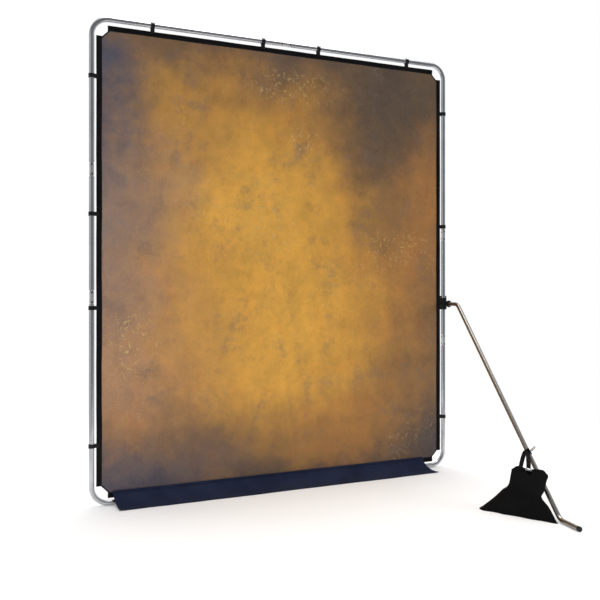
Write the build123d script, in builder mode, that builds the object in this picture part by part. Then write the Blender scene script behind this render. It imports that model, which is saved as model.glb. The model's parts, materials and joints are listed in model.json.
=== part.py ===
"""Folding background frame with a clip-on cloth cover, a floor skirt and a weighted support leg.

Millimetres. The frame stands in the plane y = 0, centred on x = 0, with its bottom tube on z = 0.
-Y is the front, where the support leg and its sandbag stand.
"""

import os
from math import cos, radians, sin

from build123d import *

os.makedirs("parts", exist_ok=True)

# Frame
frame_width = 2000
frame_height = 2300
tube_d = 25
tube_wall = 1.5
bend_radius = 80
corner_joint_from_edge = 95
lower_hinge_height = 980
upper_hinge_height = 1578
fit_gap = 0.05  # radial clearance of a running fit

# Swaged male ends and their spring buttons
swage_length = 45
swage_wall = 1.5
swage_gap = 0.1
swage_rim = 2
button_d = 6
button_from_shoulder = 22
button_stand = 2.5
button_flange_d = 8
button_flange_thickness = 2
button_flange_gap = 1.2
button_hole_gap = 0.15

# Hinge links
pin_spacing = 46
pin_d = 6
pin_head_d = 9
pin_head_height = 1.5
link_depth = 24
link_width = 20
link_flat_depth = 23
tongue_thickness = 9
tongue_width = 18
tongue_gap = 0.15
shoulder_gap = 0.3
hinge_cap_thickness = 3
hinge_plug_length = 22

# Cover, hems and rods
hem_width = 22.5
hem_thickness = 6
side_hem_gap = 8
top_hem_gap = 15
hem_rod_d = 4.5
hem_rod_from_edge = 6
side_hem_end = 93
top_hem_end = 913
side_bump_spacing = 182
top_bump_spacing = 75
bump_d = 9
bump_length = 11
cloth_thickness = 3
cloth_corner = 42
soft_gap = 0.3

# Clips
clip_length = 19
clip_wall = 2.4
clip_bore_gap = 0.1
clip_grip = 11
clip_jaw_wall = 2.2
clip_mouth_angle = 80
side_clip_heights = (285, 930, 1370, 2015)
rail_clip_places = (-700, -125, 190, 740)

# Skirt
skirt_left = -886
skirt_right = 865
skirt_top = 66
skirt_reach = 128
skirt_thickness = 3
skirt_upright_part = 16
skirt_bend_reach = 24
skirt_bend_height = 26
skirt_floor_reach = 58
skirt_bend_r = 12

# Support leg
leg_d = 22
leg_wall = 1.5
leg_turn = 8.16  # degrees the leg points towards the middle of the frame
clamp_height = 930
knee_reach = 173
leg_reach = 936
foot_length = 125
leg_bend_radius = 60
leg_joint_from_knee = 865
leg_end_in_socket = 27
foot_cap_head = 12

# Clamp
liner_wall = 1.5
liner_length = 60
clamp_outer_d = 40
clamp_length = 66
clamp_prong_height = 12
clamp_prong_width = 7
socket_outer_d = 31
socket_reach = 52
collar_length = 17
collar_mouth_d = 39
screw_d = 8
screw_knob_d = 24
screw_knob_length = 14

# Sandbag
bag_front_left = (630, -790)
bag_front_right = (799, -1104)
bag_back_right = (811, -1083)
bag_back_left = (744, -728)
strap_width = 20
strap_thickness = 2
strap_place = 855  # how far in front of the frame the strap crosses the leg
strap_foot_place = 45  # along the ridge from its left end
bag_strap_over = 13.5  # where a strap's run meets the leg: over its face, and to the side
bag_strap_aside = 14
ring_strap_over = 24
ring_strap_aside = 6
ring_strap_lift = 9.2
bag_ridge_left = (738, -886)
bag_ridge_right = (805, -1046)
bag_levels = ((0, 0.0), (86, 0.5), (205, 0.86))  # heights, and how far drawn in to the ridge
bag_valley_place = 84
ring_r = 14
ring_wire_d = 4
hook_length = 40
hook_width = 15
hook_thickness = 5
hook_wall = 3.5
gate_length = 20

# Worked out from the sizes above
bag_top_height = bag_levels[-1][0]
tube_r = tube_d / 2
bore_r = tube_r - tube_wall
half_width = frame_width / 2
upright_x = half_width - tube_r
top_z = frame_height - tube_r
bottom_z = tube_r
mid_z = frame_height / 2
shoulder_from_pin = link_width / 2 + shoulder_gap
cap_start = pin_spacing / 2 + shoulder_from_pin
tube_start = cap_start + hinge_cap_thickness
swage_r = bore_r - swage_gap
turn_axis = Axis((0, 0, mid_z), (0, 1, 0))
leg_r = leg_d / 2
leg_bore_r = leg_r - leg_wall
turn = radians(leg_turn)
leg_way = Vector(-sin(turn), -cos(turn), 0)
upright = Vector(upright_x, 0, 0)
clamp_centre = upright + Vector(0, 0, clamp_height)
knee = clamp_centre + leg_way * knee_reach
leg_heel = Vector(knee.X, knee.Y, leg_r) + leg_way * leg_reach
foot_end = leg_heel + leg_way * foot_length
slope = (leg_heel - knee).normalized()
leg_joint = knee + slope * leg_joint_from_knee

up = Vector(0, 0, 1)
across = Vector(1, 0, 0)
back = Vector(0, 1, 0)


def keep(part, name):
    """Labels a finished piece and writes its file."""
    part.label = name
    export_step(part, f"parts/{name}.step")


def ring_tube(start, way, length, outer_r, inner_r):
    """A straight tube from start along way."""
    with BuildPart() as straight:
        with BuildSketch(Plane(origin=start, z_dir=way)):
            Circle(outer_r)
            Circle(inner_r, mode=Mode.SUBTRACT)
        extrude(amount=length)
    return straight.part


def rod(start, way, length, radius):
    """A solid round rod from start along way."""
    with BuildPart() as solid:
        with BuildSketch(Plane(origin=start, z_dir=way)):
            Circle(radius)
        extrude(amount=length)
    return solid.part


def bent_tube(points, radius, outer_r, inner_r):
    """A round tube that follows straight runs joined by bends of one radius."""
    with BuildPart() as bent:
        with BuildLine() as path:
            FilletPolyline(*points, radius=radius)
        with BuildSketch(Plane(origin=path.line @ 0, z_dir=path.line % 0)):
            Circle(outer_r)
        sweep(path=path.line)
    with BuildPart() as core:
        with BuildLine() as path:
            FilletPolyline(*points, radius=radius)
        with BuildSketch(Plane(origin=path.line @ 0, z_dir=path.line % 0)):
            Circle(inner_r)
        sweep(path=path.line)
    with BuildPart() as hollow:
        add(bent.part)
        add(core.part, mode=Mode.SUBTRACT)
    return hollow.part


def swaged_end(shoulder, way, outer_r, male_r, length):
    """The shoulder and narrowed end that plugs into the next tube."""
    with BuildPart() as male:
        add(ring_tube(shoulder - way * swage_rim, way, swage_rim, outer_r, male_r - swage_wall))
        add(ring_tube(shoulder, way, length, male_r, male_r - swage_wall))
    return male.part


def button_hole(shoulder, way, out):
    """The round hole in a joint that a spring button stands out through."""
    centre = shoulder + way * button_from_shoulder
    return rod(centre, out, tube_d, button_d / 2 + button_hole_gap)


def spring_button(shoulder, way, out, outer_r, male_r):
    """A round button with a flange that stays inside the swaged end."""
    centre = shoulder + way * button_from_shoulder
    flange_top = male_r - swage_wall - button_flange_gap
    stem_length = outer_r + button_stand - flange_top
    with BuildPart() as button:
        flange_base = centre + out * (flange_top - button_flange_thickness)
        add(rod(flange_base, out, button_flange_thickness, button_flange_d / 2))
        add(rod(centre + out * flange_top, out, stem_length, button_d / 2))
        rims = button.edges().filter_by(GeomType.CIRCLE)
        fillet(rims.group_by(Axis(centre, out))[-1], 1)
    return button.part


# ---- Frame tubes: the left half, then the right half turned half a turn about the centre ----

left_top_joint = Vector(-upright_x, 0, frame_height - corner_joint_from_edge)
left_bottom_joint = Vector(-half_width + corner_joint_from_edge, 0, bottom_z)


def corner_tube(points, joint, way):
    """A bent corner tube with its swaged end and button hole."""
    with BuildPart() as corner:
        add(bent_tube(points, bend_radius, tube_r, bore_r))
        add(swaged_end(joint, way, tube_r, swage_r, swage_length))
        add(button_hole(joint, way, back), mode=Mode.SUBTRACT)
    return corner.part


def straight_tube(start, way, length, joint=None):
    """A straight frame tube, with a button hole if a swaged end plugs into it."""
    with BuildPart() as straight:
        add(ring_tube(start, way, length, tube_r, bore_r))
        if joint:
            add(button_hole(joint, way, back), mode=Mode.SUBTRACT)
    return straight.part


top_left_corner = corner_tube(
    [(-tube_start, 0, top_z), (-upright_x, 0, top_z), tuple(left_top_joint)],
    left_top_joint,
    -up,
)
left_upper = straight_tube(
    left_top_joint,
    -up,
    left_top_joint.Z - upper_hinge_height - tube_start,
    left_top_joint,
)
left_middle = straight_tube(
    Vector(-upright_x, 0, lower_hinge_height + tube_start),
    up,
    upper_hinge_height - lower_hinge_height - 2 * tube_start,
)
left_lower_corner = corner_tube(
    [
        (-upright_x, 0, lower_hinge_height - tube_start),
        (-upright_x, 0, bottom_z),
        tuple(left_bottom_joint),
    ],
    left_bottom_joint,
    across,
)
bottom_left = straight_tube(
    left_bottom_joint,
    across,
    -left_bottom_joint.X - tube_start,
    left_bottom_joint,
)

tube_pairs = (
    (top_left_corner, "top_left_corner_tube", "bottom_right_corner_tube"),
    (left_upper, "left_upper_tube", "right_lower_tube"),
    (left_middle, "left_middle_tube", "right_middle_tube"),
    (left_lower_corner, "left_lower_corner_tube", "top_right_corner_tube"),
    (bottom_left, "bottom_left_tube", "top_right_tube"),
)
for tube, left_name, right_name in tube_pairs:
    keep(tube, left_name)
    keep(tube.rotate(turn_axis, 180), right_name)

top_left_button = spring_button(left_top_joint, -up, back, tube_r, swage_r)
bottom_left_button = spring_button(left_bottom_joint, across, back, tube_r, swage_r)
keep(top_left_button, "top_left_button")
keep(bottom_left_button, "bottom_left_button")
keep(top_left_button.rotate(turn_axis, 180), "bottom_right_button")
keep(bottom_left_button.rotate(turn_axis, 180), "top_right_button")


# ---- Folding hinges: a plug with a tongue in each tube end, a link and two pins between ----


def hinge_end(centre, way):
    """The plug in the tube end that lies from the hinge centre along way, with its tongue."""
    pin = centre + way * (pin_spacing / 2)
    side = way.cross(Vector(0, 1, 0))
    with BuildPart() as end:
        add(rod(centre + way * cap_start, way, hinge_cap_thickness, tube_r))
        add(rod(centre + way * tube_start, way, hinge_plug_length, bore_r))
        with BuildSketch(Plane(origin=pin, x_dir=side, z_dir=(0, 1, 0))) as outline:
            Circle(tongue_width / 2)
            tongue_run = shoulder_from_pin + 1
            with Locations(outline.workplanes[0].to_local_coords(pin + way * tongue_run / 2)):
                Rectangle(tongue_width, tongue_run)
        extrude(amount=tongue_thickness / 2, both=True)
        add(
            rod(pin - Vector(0, tube_r, 0), (0, 1, 0), tube_d, pin_d / 2 + fit_gap),
            mode=Mode.SUBTRACT,
        )
    return end.part


def hinge_link(centre, way):
    """The link between two tube ends: a rounded bar with a slot at each end for the tongues."""
    side = way.cross(Vector(0, 1, 0))
    slot_depth = link_width / 2 + tongue_width / 2 + soft_gap
    slot_centre = (pin_spacing + link_width - slot_depth) / 2
    with BuildPart() as link:
        with BuildSketch(Plane(origin=centre, x_dir=way, z_dir=(0, 1, 0))):
            SlotOverall(pin_spacing + link_width, link_width)
        extrude(amount=link_flat_depth / 2, both=True)
        round_bar = rod(
            centre - way * (pin_spacing / 2 + link_width),
            way,
            pin_spacing + 2 * link_width,
            link_depth / 2,
        )
        add(round_bar, mode=Mode.INTERSECT)
        for end in (-1, 1):
            slot = Plane(origin=centre + way * (end * slot_centre), x_dir=way, z_dir=side)
            with BuildSketch(slot):
                Rectangle(slot_depth, tongue_thickness + 2 * tongue_gap)
            extrude(amount=link_width, both=True, mode=Mode.SUBTRACT)
        for end in (-1, 1):
            pin = centre + way * (end * pin_spacing / 2)
            add(
                rod(pin - Vector(0, tube_r, 0), (0, 1, 0), tube_d, pin_d / 2),
                mode=Mode.SUBTRACT,
            )
    return link.part


def hinge_pins(centre, way):
    """The two headed pins of a link, with their heads at front and back."""
    with BuildPart() as pins:
        for end in (-1, 1):
            pin = centre + way * (end * pin_spacing / 2)
            front = pin - Vector(0, link_flat_depth / 2, 0)
            add(rod(front, (0, 1, 0), link_flat_depth, pin_d / 2))
            for face in (-1, 1):
                seat = pin + Vector(0, face * link_flat_depth / 2, 0)
                add(rod(seat, (0, face, 0), pin_head_height, pin_head_d / 2))
    return pins.part


def group(pieces):
    """Several equal pieces in one node."""
    with BuildPart() as together:
        for piece in pieces:
            add(piece)
    return together.part


top_hinge = Vector(0, 0, top_z)
left_upper_hinge = Vector(-upright_x, 0, upper_hinge_height)
left_lower_hinge = Vector(-upright_x, 0, lower_hinge_height)
left_hinges = {
    "top": (top_hinge, across),
    "left_upper": (left_upper_hinge, up),
    "left_lower": (left_lower_hinge, up),
}
turned_names = {"top": "bottom", "left_upper": "right_lower", "left_lower": "right_upper"}
for name, (centre, way) in left_hinges.items():
    link = hinge_link(centre, way)
    pins = hinge_pins(centre, way)
    keep(link, f"{name}_hinge_link")
    keep(pins, f"{name}_hinge_pins")
    keep(link.rotate(turn_axis, 180), f"{turned_names[name]}_hinge_link")
    keep(pins.rotate(turn_axis, 180), f"{turned_names[name]}_hinge_pins")

top_rail_ends = [hinge_end(top_hinge, across), hinge_end(top_hinge, -across)]
left_top_end = hinge_end(left_upper_hinge, up)
left_middle_ends = [hinge_end(left_upper_hinge, -up), hinge_end(left_lower_hinge, up)]
left_bottom_end = hinge_end(left_lower_hinge, -up)
keep(
    group(top_rail_ends + [left_top_end, left_bottom_end.rotate(turn_axis, 180)]),
    "upper_hinge_ends",
)
keep(
    group(
        [end.rotate(turn_axis, 180) for end in top_rail_ends + [left_top_end]]
        + [left_bottom_end]
    ),
    "lower_hinge_ends",
)
keep(group(left_middle_ends), "left_middle_hinge_ends")
keep(
    group([end.rotate(turn_axis, 180) for end in left_middle_ends]),
    "right_middle_hinge_ends",
)


# ---- Clips: a ring that snaps on the tube, and a jaw that grips the hem ----


def clip(centre, way, inward, hem_gap, mouth_turn=0):
    """One clip: a ring round the tube that runs along way, with its mouth at the back unless it
    is turned, and a jaw that points inward and grips the hem."""
    ring_r = tube_r + clip_bore_gap
    jaw_start = ring_r + clip_wall / 2
    jaw_end = tube_r + hem_gap + clip_grip
    slot_start = tube_r + hem_gap - soft_gap
    slot_height = hem_thickness + 2 * soft_gap
    jaw_height = slot_height + 2 * clip_jaw_wall
    face = Plane(origin=centre, x_dir=inward, z_dir=way)
    with BuildPart() as body:
        with BuildSketch(face):
            with Locations(((jaw_start + jaw_end) / 2, 0)):
                RectangleRounded(jaw_end - jaw_start, jaw_height, 1.5)
            Circle(ring_r + clip_wall)
            Circle(ring_r, mode=Mode.SUBTRACT)
            with Locations(((slot_start + jaw_end + 1) / 2, 0)):
                Rectangle(jaw_end + 1 - slot_start, slot_height, mode=Mode.SUBTRACT)
            with BuildLine():
                corners = [
                    (2 * tube_d * cos(angle), 2 * tube_d * sin(angle))
                    for angle in (
                        radians(90 + mouth_turn - clip_mouth_angle / 2),
                        radians(90 + mouth_turn + clip_mouth_angle / 2),
                    )
                ]
                Polyline((0, 0), *corners, close=True)
            make_face(mode=Mode.SUBTRACT)
        extrude(amount=clip_length / 2, both=True)
    return body.part


def side_clip(height, side):
    """A clip on the left (side -1) or right (side 1) upright."""
    centre = Vector(side * upright_x, 0, height)
    return clip(centre, up * -side, across * -side, side_hem_gap)


low, under_clamp, above_middle, high = side_clip_heights
keep(
    group(
        [clip(Vector(x, 0, top_z), across, -up, top_hem_gap) for x in rail_clip_places]
        + [side_clip(high, -1), side_clip(high, 1), side_clip(above_middle, 1)]
    ),
    "upper_clips",
)
keep(side_clip(above_middle, -1), "left_middle_clip")
keep(
    group(
        [
            clip(Vector(-x, 0, bottom_z), -across, up, side_hem_gap, mouth_turn=90)
            for x in rail_clip_places
        ]
        + [side_clip(low, -1), side_clip(under_clamp, -1), side_clip(low, 1)]
    ),
    "lower_clips",
)


# ---- Hems with their rods, the cloth and the skirt ----


def hem(centre, way, inward, hem_gap, length, bump_spacing):
    """A flat hem with a rod pocket, bulging over the two ends of the rod joint."""
    middle = centre + inward * (tube_r + hem_gap + hem_width / 2)
    rod_line = centre + inward * (tube_r + hem_gap + hem_rod_from_edge)
    start = rod_line - way * (length / 2)
    with BuildPart() as strip:
        with BuildSketch(Plane(origin=middle - way * (length / 2), x_dir=inward, z_dir=way)):
            RectangleRounded(hem_width, hem_thickness, 2)
        extrude(amount=length)
        for end in (-1, 1):
            bump = rod_line + way * (end * bump_spacing / 2 - bump_length / 2)
            add(rod(bump, way, bump_length, bump_d / 2))
        add(rod(start, way, length, hem_rod_d / 2), mode=Mode.SUBTRACT)
    return strip.part, rod(start + way * 2, way, length - 4, hem_rod_d / 2)


side_hem_length = frame_height - 2 * side_hem_end
hems = {
    "left": hem(
        Vector(-upright_x, 0, mid_z), up, across, side_hem_gap, side_hem_length, side_bump_spacing
    ),
    "right": hem(
        Vector(upright_x, 0, mid_z), up, -across, side_hem_gap, side_hem_length, side_bump_spacing
    ),
    "top": hem(Vector(0, 0, top_z), across, -up, top_hem_gap, 2 * top_hem_end, top_bump_spacing),
    "bottom": hem(
        Vector(0, 0, bottom_z), across, up, side_hem_gap, 2 * top_hem_end, top_bump_spacing
    ),
}
for name, (strip, hem_rod) in hems.items():
    keep(strip, f"{name}_hem")
    keep(hem_rod, f"{name}_hem_rod")

cloth_x = upright_x - tube_r - side_hem_gap - hem_width
cloth_top = top_z - tube_r - top_hem_gap - hem_width - soft_gap
cloth_bottom = bottom_z + tube_r + side_hem_gap + hem_width
with BuildPart() as cover_cloth:
    with BuildSketch(Plane.XZ):
        with BuildLine():
            Polyline(
                (-cloth_x + cloth_corner, cloth_bottom),
                (cloth_x - cloth_corner, cloth_bottom),
                (cloth_x, cloth_bottom + cloth_corner),
                (cloth_x, cloth_top - cloth_corner),
                (cloth_x - cloth_corner, cloth_top),
                (-cloth_x + cloth_corner, cloth_top),
                (-cloth_x, cloth_top - cloth_corner),
                (-cloth_x, cloth_bottom + cloth_corner),
                close=True,
            )
        make_face()
    extrude(amount=cloth_thickness / 2, both=True)
keep(cover_cloth.part, "cover_cloth")

skirt_front_of_hem = -(hem_thickness + skirt_thickness) / 2 - soft_gap
with BuildPart() as floor_skirt:
    with BuildSketch(Plane.YZ.offset(skirt_left)):
        with BuildLine():
            FilletPolyline(
                (skirt_front_of_hem, skirt_top),
                (skirt_front_of_hem, skirt_top - skirt_upright_part),
                (skirt_front_of_hem - skirt_bend_reach, skirt_bend_height),
                (skirt_front_of_hem - skirt_floor_reach, skirt_thickness / 2),
                (-skirt_reach, skirt_thickness / 2),
                radius=skirt_bend_r,
            )
        trace(line_width=skirt_thickness)
    extrude(amount=skirt_right - skirt_left)
keep(floor_skirt.part, "floor_skirt")


# ---- Clamp on the right upright ----

stub_start = clamp_centre + leg_way * leg_end_in_socket
liner_inner_r = tube_r + fit_gap
liner_outer_r = liner_inner_r + liner_wall
keep(
    ring_tube(
        clamp_centre - up * (liner_length / 2), up, liner_length, liner_outer_r, liner_inner_r
    ),
    "clamp_liner",
)

clamp_bore_r = liner_outer_r + fit_gap
clamp_outer_r = clamp_outer_d / 2
with BuildPart() as clamp_body:
    add(rod(clamp_centre - up * (clamp_length / 2), up, clamp_length, clamp_outer_r))
    add(rod(clamp_centre, leg_way, socket_reach, socket_outer_d / 2))
    add(rod(clamp_centre, -leg_way, clamp_outer_r + 3, screw_d))
    for side in (-1, 1):
        prong = Plane(
            origin=clamp_centre + up * (clamp_length / 2), x_dir=leg_way, z_dir=(0, 0, 1)
        )
        with BuildSketch(prong):
            with Locations((0, side * (clamp_bore_r + clamp_outer_r) / 2)):
                Rectangle(clamp_prong_width, clamp_outer_r - clamp_bore_r - 1)
        extrude(amount=clamp_prong_height)
    bore_start = clamp_centre - up * clamp_length
    add(rod(bore_start, up, 2 * clamp_length, clamp_bore_r), mode=Mode.SUBTRACT)
    socket_bore = rod(stub_start, leg_way, socket_reach, leg_r + fit_gap)
    add(socket_bore, mode=Mode.SUBTRACT)
    screw_bore = rod(clamp_centre, -leg_way, 2 * clamp_outer_r, screw_d / 2 + fit_gap)
    add(screw_bore, mode=Mode.SUBTRACT)
keep(clamp_body.part, "clamp_body")

collar_start = clamp_centre + leg_way * (socket_reach + soft_gap)
with BuildPart() as socket_collar:
    with BuildSketch(Plane(origin=collar_start, z_dir=leg_way)):
        Circle(socket_outer_d / 2)
    with BuildSketch(Plane(origin=collar_start + leg_way * (collar_length * 0.45), z_dir=leg_way)):
        Circle(socket_outer_d / 2)
    with BuildSketch(Plane(origin=collar_start + leg_way * collar_length, z_dir=leg_way)):
        Circle(collar_mouth_d / 2)
    loft(ruled=True)
    collar_bore = rod(collar_start - leg_way, leg_way, collar_length + 2, leg_r + fit_gap)
    add(collar_bore, mode=Mode.SUBTRACT)
keep(socket_collar.part, "socket_collar")

screw_tip = clamp_centre - leg_way * (clamp_bore_r + soft_gap)
screw_length = clamp_outer_r + 3 - clamp_bore_r
with BuildPart() as clamp_screw:
    add(rod(screw_tip, -leg_way, screw_length + 2, screw_d / 2))
    knob_start = screw_tip - leg_way * (screw_length + 1)
    with BuildSketch(Plane(origin=knob_start, z_dir=-leg_way)):
        Circle(screw_knob_d / 2)
        with PolarLocations(screw_knob_d / 2, 6):
            Circle(2.5, mode=Mode.SUBTRACT)
    extrude(amount=screw_knob_length)
keep(clamp_screw.part, "clamp_screw")


# ---- Support leg ----

swage_leg_r = leg_bore_r - swage_gap
leg_button_out = slope.cross(up).normalized()
leg_button_hole = button_hole(leg_joint, slope, leg_button_out)
leg_upper_points = [tuple(stub_start), tuple(knee), tuple(leg_joint)]
with BuildPart() as leg_upper_tube:
    add(bent_tube(leg_upper_points, leg_bend_radius, leg_r, leg_bore_r))
    add(swaged_end(leg_joint, slope, leg_r, swage_leg_r, swage_length))
    add(leg_button_hole, mode=Mode.SUBTRACT)
keep(leg_upper_tube.part, "leg_upper_tube")

leg_lower_points = [tuple(leg_joint), tuple(leg_heel), tuple(foot_end)]
with BuildPart() as leg_lower_tube:
    add(bent_tube(leg_lower_points, leg_bend_radius, leg_r, leg_bore_r))
    add(leg_button_hole, mode=Mode.SUBTRACT)
keep(leg_lower_tube.part, "leg_lower_tube")
keep(spring_button(leg_joint, slope, leg_button_out, leg_r, swage_leg_r), "leg_button")

with BuildPart() as foot_cap:
    add(rod(foot_end, leg_way, foot_cap_head, leg_r))
    add(rod(foot_end, -leg_way, 2 * leg_r, leg_bore_r))
keep(foot_cap.part, "foot_cap")


# ---- Sandbag, straps, ring and hook ----

ridge_way = Vector(*bag_ridge_right, 0) - Vector(*bag_ridge_left, 0)
ridge_way = ridge_way.normalized()
ridge_side = ridge_way.cross(up)
valley = Vector(*bag_ridge_left, bag_top_height) + ridge_way * bag_valley_place
valley_r = ring_r + ring_wire_d / 2 + soft_gap


def bag_outline(inset):
    """The four corners of the bag, drawn in by a share of their way to the ridge."""
    ridge_ends = (bag_ridge_left, bag_ridge_right, bag_ridge_right, bag_ridge_left)
    base = (bag_front_left, bag_front_right, bag_back_right, bag_back_left)
    return [
        (x + (ridge_x - x) * inset, y + (ridge_y - y) * inset)
        for (x, y), (ridge_x, ridge_y) in zip(base, ridge_ends)
    ]


with BuildPart() as sandbag:
    for height, inset in bag_levels:
        with BuildSketch(Plane.XY.offset(height)):
            with BuildLine():
                Polyline(*bag_outline(inset), close=True)
            make_face()
    loft(ruled=True)
    valley_cut = rod(valley - ridge_side * bag_top_height, ridge_side, 2 * bag_top_height, valley_r)
    add(valley_cut, mode=Mode.SUBTRACT)
keep(sandbag.part, "sandbag")

with BuildPart() as bag_ring:
    with BuildLine() as ring_path:
        ring_plane = Plane(origin=valley, x_dir=ridge_way, z_dir=-ridge_side)
        left_end = ring_plane.from_local_coords((-ring_r, 0))
        right_end = ring_plane.from_local_coords((ring_r, 0))
        low_point = ring_plane.from_local_coords((0, -ring_r))
        ThreePointArc(left_end, low_point, right_end)
    with BuildSketch(Plane(origin=left_end, z_dir=ring_path.line % 0)):
        Circle(ring_wire_d / 2)
    sweep(path=ring_path.line)
    add(rod(left_end, ridge_way, 2 * ring_r, ring_wire_d / 2))
keep(bag_ring.part, "bag_ring")

# The strap hangs over the leg. Across the leg there, "aside" points away from the bag
# and "over" points out of the leg's upper face.
strap_run = (strap_place + knee.Y) / -slope.Y
strap_centre = knee + slope * strap_run
aside = up.cross(slope).normalized()
over = slope.cross(aside).normalized()
band_inner_r = leg_r + soft_gap
band_outer_r = band_inner_r + strap_thickness


def webbing(start, end):
    """A flat run of webbing from start to end, with its width along the leg."""
    way = (end - start).normalized()
    face = Plane(origin=start, x_dir=slope - way * slope.dot(way), z_dir=way)
    with BuildPart() as run:
        with BuildSketch(face):
            Rectangle(strap_width, strap_thickness)
        extrude(amount=(end - start).length)
    return run.part


strap_lift = strap_width / 2 * abs(slope.Z)
strap_foot = Vector(*bag_ridge_left, bag_top_height + strap_lift) + ridge_way * strap_foot_place
with BuildPart() as bag_strap:
    band_start = strap_centre - slope * (strap_width / 2)
    add(ring_tube(band_start, slope, strap_width, band_outer_r, band_inner_r))
    add(webbing(strap_foot, strap_centre + over * bag_strap_over - aside * bag_strap_aside))
keep(bag_strap.part, "bag_strap")

ring_strap_foot = valley + up * (ring_wire_d / 2 + strap_lift + ring_strap_lift)
with BuildPart() as ring_strap:
    add(webbing(ring_strap_foot, strap_centre + over * ring_strap_over - aside * ring_strap_aside))
keep(ring_strap.part, "ring_strap")

hook_along = (over * 0.95 + aside * 0.25).normalized()
hook_centre = strap_centre + hook_along * (band_outer_r + soft_gap + hook_length / 2)
hook_plane = Plane(origin=hook_centre, x_dir=hook_along, z_dir=slope)
gate_place = -(hook_width - hook_wall) / 2
with BuildPart() as hook_body:
    with BuildSketch(hook_plane):
        SlotOverall(hook_length, hook_width)
        SlotOverall(hook_length - 2 * hook_wall, hook_width - 2 * hook_wall, mode=Mode.SUBTRACT)
        with Locations((0, gate_place)):
            Rectangle(gate_length + 2 * soft_gap, 2 * hook_wall, mode=Mode.SUBTRACT)
    extrude(amount=hook_thickness / 2, both=True)
keep(hook_body.part, "hook_body")

with BuildPart() as hook_gate:
    with BuildSketch(hook_plane):
        with Locations((0, gate_place)):
            SlotOverall(gate_length, hook_wall)
    extrude(amount=hook_thickness / 2 - 0.5, both=True)
keep(hook_gate.part, "hook_gate")

gate_pin = hook_plane.from_local_coords((hook_wall / 2 - gate_length / 2, gate_place))
for name, point in {
    "clamp": clamp_centre,
    "stub way": leg_way,
    "knee": knee,
    "slope": slope,
    "foot end": foot_end,
    "leg button out": leg_button_out,
    "strap centre": strap_centre,
    "gate pin": gate_pin,
}.items():
    print(name, tuple(round(value, 5) for value in point))
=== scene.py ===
# %% [markdown]
# # A folding frame with a painted cloth background
# The frame is a hoop of aluminium tube that stands on its bottom rail. A painted cloth with black hems is
# clipped inside it, a navy skirt runs out over the floor, and a leg with a sandbag keeps it upright. The
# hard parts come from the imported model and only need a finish. The cloth parts are made here, each as a
# surface worked out from a formula.

# %% Load the frame
import json
from math import radians

import bpy
import numpy as np
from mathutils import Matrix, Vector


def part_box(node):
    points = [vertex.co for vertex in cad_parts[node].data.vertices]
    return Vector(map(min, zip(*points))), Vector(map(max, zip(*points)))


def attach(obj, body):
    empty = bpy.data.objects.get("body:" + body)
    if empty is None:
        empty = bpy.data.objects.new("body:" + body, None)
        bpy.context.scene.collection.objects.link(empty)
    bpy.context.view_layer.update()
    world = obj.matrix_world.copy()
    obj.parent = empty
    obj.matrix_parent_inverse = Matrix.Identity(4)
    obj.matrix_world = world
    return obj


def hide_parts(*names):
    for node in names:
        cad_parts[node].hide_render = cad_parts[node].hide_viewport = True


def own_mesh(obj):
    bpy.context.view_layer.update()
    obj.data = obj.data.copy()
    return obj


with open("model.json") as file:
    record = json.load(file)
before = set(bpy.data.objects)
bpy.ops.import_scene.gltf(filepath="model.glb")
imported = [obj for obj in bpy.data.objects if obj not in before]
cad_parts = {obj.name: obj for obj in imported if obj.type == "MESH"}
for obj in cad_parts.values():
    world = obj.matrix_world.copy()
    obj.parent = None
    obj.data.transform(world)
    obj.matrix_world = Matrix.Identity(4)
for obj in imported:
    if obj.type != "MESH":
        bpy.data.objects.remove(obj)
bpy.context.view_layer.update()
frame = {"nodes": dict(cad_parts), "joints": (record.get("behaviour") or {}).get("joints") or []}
nodes = frame["nodes"]

# %% [markdown]
# ## The camera, the floor and the light
# The camera stands low in front and to the left, and looks level along the floor, so the uprights stay
# parallel. A small shift puts the horizon a little above the middle of the view. The floor and the world
# are pale, which is how a product is shown on its own.

# %% Place the camera
LENS_MM, SENSOR_MM, SHIFT = 46.74, 36, -0.026
CAMERA_PLACE, CAMERA_TURN = (-1.63, -3.71, 1.04), -24.8
camera_data = bpy.data.cameras.new("camera")
camera_data.lens = LENS_MM
camera_data.sensor_width = SENSOR_MM
camera_data.shift_y = SHIFT
camera = bpy.data.objects.new("camera", camera_data)
camera.location = CAMERA_PLACE
camera.rotation_euler = (radians(90), 0, radians(CAMERA_TURN))
bpy.context.scene.collection.objects.link(camera)
bpy.context.scene.camera = camera

# %% [markdown]
# Every material starts from one Principled shader. Short helpers keep the rest readable. The first makes
# the material and sets plain numbers on its sockets, and the second adds a node and joins what is given
# to it. The others each add a kind of node that is used often.


# %% Helpers for materials
def new_material(name, colour, **sockets):
    """A Principled material with a plain colour and plain numbers on its own sockets."""
    material = bpy.data.materials.new(name)
    material.use_nodes = True
    shader = material.node_tree.nodes["Principled BSDF"]
    shader.inputs["Base Color"].default_value = (*colour, 1)
    for socket, value in sockets.items():
        shader.inputs[socket.replace("_", " ").title().replace("Ior", "IOR")].default_value = value
    return material, shader


def node(material, kind, inputs, **settings):
    """Adds one node: its settings, then each input as a plain value or a link from an output."""
    made = material.node_tree.nodes.new(kind)
    for key, value in settings.items():
        setattr(made, key, value)
    for socket, value in inputs.items():
        if isinstance(value, bpy.types.NodeSocket):
            material.node_tree.links.new(value, made.inputs[socket])
        else:
            made.inputs[socket].default_value = value
    return made


def place(material, scale=(1, 1, 1)):
    """Object coordinates in metres, stretched by scale."""
    where = node(material, "ShaderNodeTexCoord", {}).outputs["Object"]
    return node(material, "ShaderNodeMapping", {"Vector": where, "Scale": scale}).outputs[0]


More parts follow.
